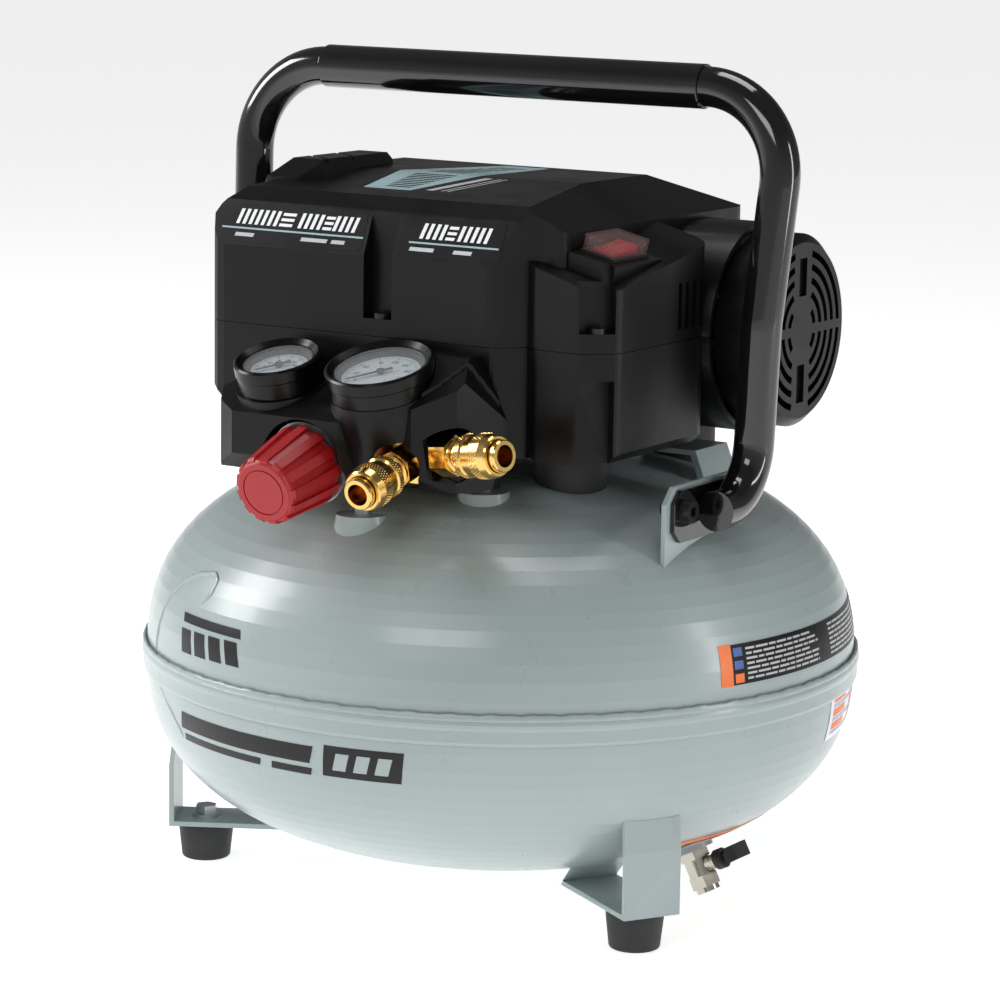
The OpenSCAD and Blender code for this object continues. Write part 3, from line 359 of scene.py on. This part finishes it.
def add_tank_graphics():
    """Generic stripe graphics in place of the two tank marks."""
    ink = Sheet("tank_stripe_upper", INK)
    for i in range(4):
        tank_patch(ink, -27.6 + i * 4.2, -24.6 + i * 4.2, 153 + i * 0.4, 166 + i * 0.4, lean=-1.2)
    tank_patch(ink, -28.6, -12.4, 169.5, 174.5, lean=-0.6)
    ink.finish()
    wide = Sheet("tank_stripe_lower", INK)
    tank_patch(wide, -28.5, 2.0, 108.0, 118.0, lean=0.8)
    tank_patch(wide, -28.0, -8.0, 101.0, 105.0, lean=0.3)
    tank_patch(wide, -5.6, 2.0, 101.0, 105.0, lean=0.3)
    tank_patch(wide, 4.2, 17.2, 102.0, 120.0, lean=0.6)
    wide.finish()
    light = Sheet("tank_stripe_light", TANK_TRIM)
    for i in range(3):
        tank_patch(light, 6.0 + i * 3.5, 8.2 + i * 3.5, 106.0, 116.0, lean=0.8, low=0.2, high=0.3)
    light.finish()


def add_warning_strip():
    """Plain dark strip with an orange end on the right of the upper shell, lines instead of words."""
    base = Sheet("warning_strip", LABEL_BLACK)
    tank_patch(base, 70.0, 126.0, 152.0, 174.0)
    base.finish()
    end = Sheet("warning_strip_end", ORANGE)
    tank_patch(end, 67.6, 70.0, 151.6, 174.4)
    tank_patch(end, 70.4, 72.2, 153.0, 158.0, low=0.2, high=0.28)
    end.finish()
    marks = Sheet("warning_strip_marks", BLUE)
    for z in (160.5, 167.5):
        tank_patch(marks, 70.4, 72.2, z, z + 4.6, low=0.2, high=0.28)
    marks.finish()
    lines = Sheet("warning_strip_lines", GREY_TEXT)
    for block in ((73.0, 92.0), (96.5, 123.0)):
        for i in range(7):
            z = 154.2 + i * 2.7
            step = 1.1
            a = block[0]
            k = i
            while a < block[1] - (i * 5 % 4):
                long = step * (1.1 + (k * 7 % 5) * 0.35)
                tank_patch(lines, a, min(a + long, block[1]), z, z + 1.2, low=0.2, high=0.27)
                a += long + 0.35
                k += 1
    lines.finish()


def add_side_label():
    """Small white label with orange boxes below the seam on the right."""
    base = Sheet("side_label", WHITE)
    tank_patch(base, 97.0, 122.0, 101.5, 130.5)
    base.finish()
    boxes = Sheet("side_label_boxes", ORANGE)
    lines = Sheet("side_label_lines", BLUE)
    for i in range(3):
        z = 107.5 + i * 8.0
        tank_patch(boxes, 98.4, 105.0, z, z + 4.4, low=0.2, high=0.28)
        tank_patch(boxes, 109.0, 116.0, z, z + 4.4, low=0.2, high=0.28)
        for k in range(2):
            tank_patch(lines, 98.4, 120.0, z - 2.6 + k * 1.2, z - 2.1 + k * 1.2, low=0.2, high=0.26)
    boxes.finish()
    lines.finish()


def add_under_label():
    """Orange bordered label above the drain."""
    base = Sheet("drain_label", ORANGE)
    tank_patch(base, 70.0, 104.0, 38.0, 54.0)
    base.finish()
    inner = Sheet("drain_label_dark", LABEL_BLACK)
    tank_patch(inner, 72.5, 100.0, 40.6, 50.4, low=0.2, high=0.28)
    inner.finish()
    lines = Sheet("drain_label_lines", GREY_TEXT)
    for i in range(4):
        tank_patch(lines, 75.0, 98.0 - i, 41.8 + i * 2.0, 42.7 + i * 2.0, low=0.28, high=0.33)
    lines.finish()


def add_tank_outline():
    """Raised outline pressed into the left of the tank."""
    path = [(-39.5, 142.0), (-39.6, 150.0), (-39.2, 160.0), (-38.4, 170.0), (-36.8, 180.0), (-33.6, 189.0),
            (-29.6, 195.0), (-25.0, 197.8), (-23.4, 195.0), (-23.2, 188.0), (-25.0, 180.0)]
    bead = Sheet("tank_outline_upper", TANK_TRIM)
    add_bead(bead, path, 1.1)
    bead.finish(smooth=True)
    lower = [(-38.0, 126.0), (-35.0, 120.0), (-31.6, 112.0), (-29.6, 105.0), (-28.8, 100.0)]
    bead = Sheet("tank_outline_lower", TANK_TRIM)
    add_bead(bead, lower, 0.9)
    bead.finish(smooth=True)


def add_bead(sheet, path, radius, sides=8):
    """Low round bead along a path of tank angles and heights."""
    points = []
    for (a0, z0), (a1, z1) in zip(path, path[1:]):
        for i in range(4):
            t = i / 4
            points.append(Vector(tank_point(a0 + (a1 - a0) * t, z0 + (z1 - z0) * t, -radius * 0.35)))
    points.append(Vector(tank_point(*path[-1], -radius * 0.35)))
    start = len(sheet.verts)
    count = len(points)
    for i, p in enumerate(points):
        ahead = (points[min(i + 1, count - 1)] - points[max(i - 1, 0)]).normalized()
        out = Vector((p[0], p[1], 0)).normalized()
        side = ahead.cross(out).normalized()
        out = side.cross(ahead)
        size = radius * min(1.0, 0.3 + min(i, count - 1 - i) * 0.25)
        for k in range(sides):
            t = 2 * math.pi * k / sides
            sheet.verts.append(tuple(p + (side * math.cos(t) * 1.6 + out * math.sin(t)) * size))
    for i in range(count - 1):
        for k in range(sides):
            a = start + i * sides + k
            b = start + i * sides + (k + 1) % sides
            sheet.faces.append([a, b, b + sides, a + sides])
    sheet.faces.append([start + k for k in reversed(range(sides))])
    sheet.faces.append([start + (count - 1) * sides + k for k in range(sides)])


def add_seam_beads():
    """Irregular ripples of the weld on the seam band."""
    sheet = Sheet("seam_ripples", TANK_TRIM)
    count = 360
    rings = []
    for i in range(count):
        a = math.radians(i * 360 / count)
        wobble = 0.35 * math.sin(i * 2.1) + 0.25 * math.sin(i * 5.3 + 1)
        ring = []
        for k in range(8):
            t = 2 * math.pi * k / 8
            r = TANK_R + 1.5 + (1.15 + 0.22 * wobble) * math.cos(t)
            z = SEAM + 5.6 + 0.4 * wobble + (2.6 + 0.5 * wobble) * math.sin(t)
            ring.append((r * math.sin(a), -r * math.cos(a), z))
        rings.append(ring)
        sheet.verts += ring
    for i in range(count):
        j = (i + 1) % count
        for k in range(8):
            n = (k + 1) % 8
            sheet.faces.append([i * 8 + k, j * 8 + k, j * 8 + n, i * 8 + n])
    sheet.finish(smooth=True)


TANK_TRIM = FINISHES["tank_paint"]
add_tank_graphics()
add_warning_strip()
add_side_label()
add_under_label()
add_tank_outline()
add_seam_beads()


# Sloped label face of the housing: foot edge and top edge in mm
SLOPE_LOW, SLOPE_HIGH = Vector((0, -118, 378)), Vector((0, -108, 403))


def add_front_label():
    """Thin black label with pale lines and abstract white bars, no words or numbers."""
    up = SLOPE_HIGH - SLOPE_LOW
    place = plane_map(SLOPE_LOW, (1, 0, 0), up, 0.0)
    base = Sheet("front_label", LABEL_BLACK)
    for x0, x1 in ((-122, -24), (2, 68)):
        flat_patch(base, place, [(x0, 1.6), (x1 - 3, 1.6), (x1, 4.6), (x1, 24.5), (x0, 24.5)], 0.02, 0.12)
    base.finish()
    lines = Sheet("front_label_lines", TEAL)
    for x0, x1 in ((-122, -24), (7, 66)):
        flat_patch(lines, place, bar(x0, 9.6, x1 - x0, 1.0), 0.1, 0.2)
    lines.finish()
    marks = Sheet("front_label_marks", WHITE)
    for x, count in ((-113, 7), (-70, 4), (-46, 4), (13, 4), (38, 5)):
        for i in range(count):
            flat_patch(marks, place, bar(x + i * 4.3, 12.6, 2.3, 9.0, 0.25), 0.1, 0.2)
    for x, w in ((-83, 9), (-53, 6), (30, 6)):
        for y in (12.8, 16.0, 19.2):
            flat_patch(marks, place, bar(x + (y - 12.8) * 0.25, y, w, 1.7, 0.25), 0.1, 0.2)
    marks.finish()
    small = Sheet("front_label_small", GREY_TEXT)
    for x, w in ((-112, 13), (-66, 18), (-45, 9), (8, 16), (37, 12)):
        flat_patch(small, place, bar(x, 5.2, w, 2.2, 0.25), 0.1, 0.2)
    small.finish()


def add_deck_badge():
    """Pale stripe on the deck with a plain dark wave pattern."""
    slope = plane_map((0, -96, 410), (1, 0, 0), (0, 76, 7), 0.0)
    top = plane_map((0, -20, 417), (1, 0, 0), (0, 1, 0), 0.0)
    stripe = Sheet("deck_badge", TEAL)
    flat_patch(stripe, slope, [(-50, 20), (-18, 20), (-6, 76), (-62, 76)], 0.02, 0.12)
    flat_patch(stripe, top, [(-62, 0.3), (-6, 0.3), (0, 66), (-30, 66)], 0.02, 0.12)
    stripe.finish()
    waves = Sheet("deck_badge_waves", INK)
    for i in range(9):
        y = 27 + i * 5.2
        flat_patch(waves, slope, bar(-40 - i * 1.0, y, 17 + i * 1.4, 2.4, 0.5), 0.1, 0.2)
    for i in range(8):
        flat_patch(waves, top, bar(-46 + i * 2.6, 5 + i * 6.4, 24 - i * 0.8, 2.6, 0.5), 0.1, 0.2)
    waves.finish()
    text = Sheet("deck_badge_lines", GREY_TEXT)
    flat_patch(text, slope, bar(-10, 24, 5, 46, 0.24), 0.02, 0.14)
    for x in (0, 4):
        flat_patch(text, slope, bar(x, 24, 1.2, 46, 0.24), 0.02, 0.14)
    text.finish()


add_front_label()
add_deck_badge()


# ---------------------------------------------------------------- gauges, knob, couplers

# Places in mm and tilts in degrees of the gauges and couplers, the same as in the CAD source
TANK_GAUGE, OUTLET_GAUGE = (-57.5, -150, 322), (11.5, -150, 324.5)
GAUGE_TILT, DIAL_FACE = 18, -7.15
PANEL_TILT = 14
RIGHT_TURN, RIGHT_LEAN = -11, 83


def frame_at(place, tilt_x):
    """Local frame of a tilted part: origin in mm and rotation about X in degrees."""
    return Matrix.Translation(Vector(place)) @ Matrix.Rotation(math.radians(tilt_x), 4, "X")


def local_solid(sheet, matrix, outline, low, high):
    sheet.prism([tuple(matrix @ Vector((x, y, low))) for x, y in outline],
                [tuple(matrix @ Vector((x, y, high))) for x, y in outline])


# Strokes of the generic dial numbers, in the manner of a seven-segment display
DIGITS = {
    0: "abcdef", 1: "bc", 2: "abged", 3: "abgcd", 4: "fgbc", 5: "afgcd", 6: "afgedc", 7: "abc",
    8: "abcdefg", 9: "abcdfg"}
STROKES = {"a": (0, 1, 1, 1), "b": (1, 0.5, 1, 1), "c": (1, 0, 1, 0.5), "d": (0, 0, 1, 0),
           "e": (0, 0, 0, 0.5), "f": (0, 0.5, 0, 1), "g": (0, 0.5, 1, 0.5)}


def add_number(sheet, matrix, value, x, y, size, low, high):
    text = str(value)
    step = size * 0.8
    x -= (len(text) * step - size * 0.25) / 2
    for digit in text:
        for key in DIGITS[int(digit)]:
            x0, y0, x1, y1 = STROKES[key]
            w = size * 0.07
            ax, bx = x + x0 * size * 0.5 - w, x + x1 * size * 0.5 + w
            ay, by = y + (y0 - 0.5) * size - w, y + (y1 - 0.5) * size + w
            local_solid(sheet, matrix, [(ax, ay), (bx, ay), (bx, by), (ax, by)], low, high)
        x += step


def ray(angle, r0, r1, half):
    """Outline of a thin bar that points away from the dial's middle."""
    c, s = math.cos(angle), math.sin(angle)
    return [(r0 * c + half * s, r0 * s - half * c), (r1 * c + half * s, r1 * s - half * c),
            (r1 * c - half * s, r1 * s + half * c), (r0 * c - half * s, r0 * s + half * c)]


def sweep(i, count):
    """Angle of step i out of count over the dial's 270 degrees."""
    return math.radians(225 - i * 270 / count)


def add_dial_print(name, place, radius, count, step):
    """Ticks, numbers and an inner scale on a gauge dial."""
    matrix = frame_at(place, GAUGE_TILT)
    low, high = DIAL_FACE + 0.01, DIAL_FACE + 0.08
    ink = Sheet(name + "_ticks", INK)
    for i in range(count * 5 + 1):
        long, half = (3.2, 0.22) if i % 5 == 0 else (1.6, 0.11)
        rim = radius - 1.2
        local_solid(ink, matrix, ray(sweep(i, count * 5), rim - long, rim, half), low, high)
    for i in range(count + 1):
        a = sweep(i, count)
        r = radius - 7.4
        add_number(ink, matrix, i * step, r * math.cos(a), r * math.sin(a), radius * 0.105, low, high)
    ink.finish()
    inner = Sheet(name + "_inner_scale", TRIM_RED)
    for i in range(count * 2 + 1):
        outline = ray(sweep(i, count * 2), radius * 0.42, radius * 0.48, 0.14)
        local_solid(inner, matrix, outline, low, DIAL_FACE + 0.07)
    inner.finish()


TRIM_RED = surface("print_red", (0.45, 0.02, 0.02), (0.55, 0.03, 0.03), (0.35, 0.45), grain_strength=0.05)
add_dial_print("tank_dial", TANK_GAUGE, 16.3, 8, 30)
add_dial_print("outlet_dial", OUTLET_GAUGE, 22.1, 8, 25)


def turned(degrees, axis):
    return Matrix.Rotation(math.radians(degrees), 4, axis)


def coupler_matrix(place, front):
    """Local frame of a coupler, with +Z out of its mouth."""
    base = Matrix.Translation(Vector(place))
    if front:
        return base @ turned(PANEL_TILT, "X") @ turned(90, "X")
    return base @ turned(RIGHT_TURN, "Z") @ turned(RIGHT_LEAN, "Y")


def on_barrel(matrix, radius, angle, height):
    """Point on a cylinder in a coupler's own frame."""
    return tuple(matrix @ Vector((radius * math.cos(angle), radius * math.sin(angle), height)))


def add_knurl(name, matrix, body, z0, z1, radius):
    """Fine knurled band: small pyramids in staggered rows."""
    sheet = Sheet(name, FINISHES["brass"])
    around, rows = 48, max(2, int((z1 - z0) / 1.5))
    dz = (z1 - z0) / rows
    for r in range(rows):
        for i in range(around):
            a = 2 * math.pi * (i + 0.5 * (r % 2)) / around
            w = math.pi / around
            z = z0 + r * dz
            start = len(sheet.verts)
            for t, h in ((a - w, z + dz / 2), (a, z), (a + w, z + dz / 2), (a, z + dz)):
                sheet.verts.append(on_barrel(matrix, radius, t, h))
            sheet.verts.append(on_barrel(matrix, radius + 0.55, a, z + dz / 2))
            sheet.verts.append(on_barrel(matrix, radius - 0.4, a, z + dz / 2))
            for k in range(4):
                n = (k + 1) % 4
                sheet.faces.append([start + n, start + k, start + 4][::-1])
                sheet.faces.append([start + k, start + n, start + 5][::-1])
    sheet.finish(body)


TILT = math.radians(PANEL_TILT)
FRONT_SEAT = (30.0, -138 - 12.05 * math.cos(TILT) - 2 * math.sin(TILT),
              271 - 12.05 * math.sin(TILT) + 2 * math.cos(TILT))
RIGHT_SEAT = (50.9, -145.9, 275.4)
for label, seat, front in (("front", FRONT_SEAT, True), ("right", RIGHT_SEAT, False)):
    turn = coupler_matrix(seat, front)
    add_knurl("coupler_%s_knurl_back" % label, turn, "sleeve_" + label, 20.0, 23.4, 11.9)
    add_knurl("coupler_%s_knurl_rim" % label, turn, "sleeve_" + label, 31.2, 37.8, 12.3)


# ---------------------------------------------------------------- stage and light

def add_stage():
    mat, tree, bsdf = new_material("floor_white")
    bsdf.inputs["Base Color"].default_value = (0.80, 0.80, 0.80, 1)
    bsdf.inputs["Roughness"].default_value = 0.9
    bsdf.inputs["Specular IOR Level"].default_value = 0.1
    bsdf.inputs["Emission Color"].default_value = (1, 1, 1, 1)
    bsdf.inputs["Emission Strength"].default_value = 0.72
    bpy.ops.mesh.primitive_plane_add(size=60, location=(0, 0, 0))
    floor = bpy.context.object
    floor.name = "floor"
    floor.data.materials.append(mat)


def add_area(name, place, aim, size, power, colour=(1, 1, 1)):
    data = bpy.data.lights.new(name, "AREA")
    data.shape = "RECTANGLE"
    data.size, data.size_y = size
    data.energy = power
    data.color = colour
    light = bpy.data.objects.new(name, data)
    light.location = place
    light.rotation_euler = (Vector(aim) - Vector(place)).to_track_quat("-Z", "Y").to_euler()
    bpy.context.scene.collection.objects.link(light)


def add_world():
    """Bright at the horizon in front and at the sides, darker overhead and behind."""
    world = bpy.data.worlds.new("studio")
    world.use_nodes = True
    tree = world.node_tree
    back = tree.nodes["Background"]
    back.inputs["Color"].default_value = (1, 1, 1, 1)
    coord = tree.nodes.new("ShaderNodeTexCoord")
    split = tree.nodes.new("ShaderNodeSeparateXYZ")
    tree.links.new(coord.outputs["Generated"], split.inputs["Vector"])
    height = ramp(tree, split.outputs["Z"], 0.0, 0.65, 0.52, 0.16)
    depth = ramp(tree, split.outputs["Y"], 0.1, 0.9, 1.0, 0.35)
    both = tree.nodes.new("ShaderNodeMath")
    both.operation = "MULTIPLY"
    tree.links.new(height, both.inputs[0])
    tree.links.new(depth, both.inputs[1])
    tree.links.new(both.outputs[0], back.inputs["Strength"])
    bpy.context.scene.world = world


def add_light():
    middle = (0, 0, 0.22)
    add_area("key", (-2.3, -0.9, 1.5), middle, (1.0, 1.2), 46)
    add_area("fill", (0.4, -2.4, 1.9), middle, (1.4, 0.7), 15)
    add_area("side", (2.2, 0.5, 0.8), middle, (0.25, 1.4), 11)
    add_area("top", (0.0, 0.3, 2.4), middle, (1.0, 1.0), 16)


add_stage()
add_world()
add_light()
# The plain transform keeps the pale floor white and the blacks deep
bpy.context.scene.view_settings.view_transform = "Standard"
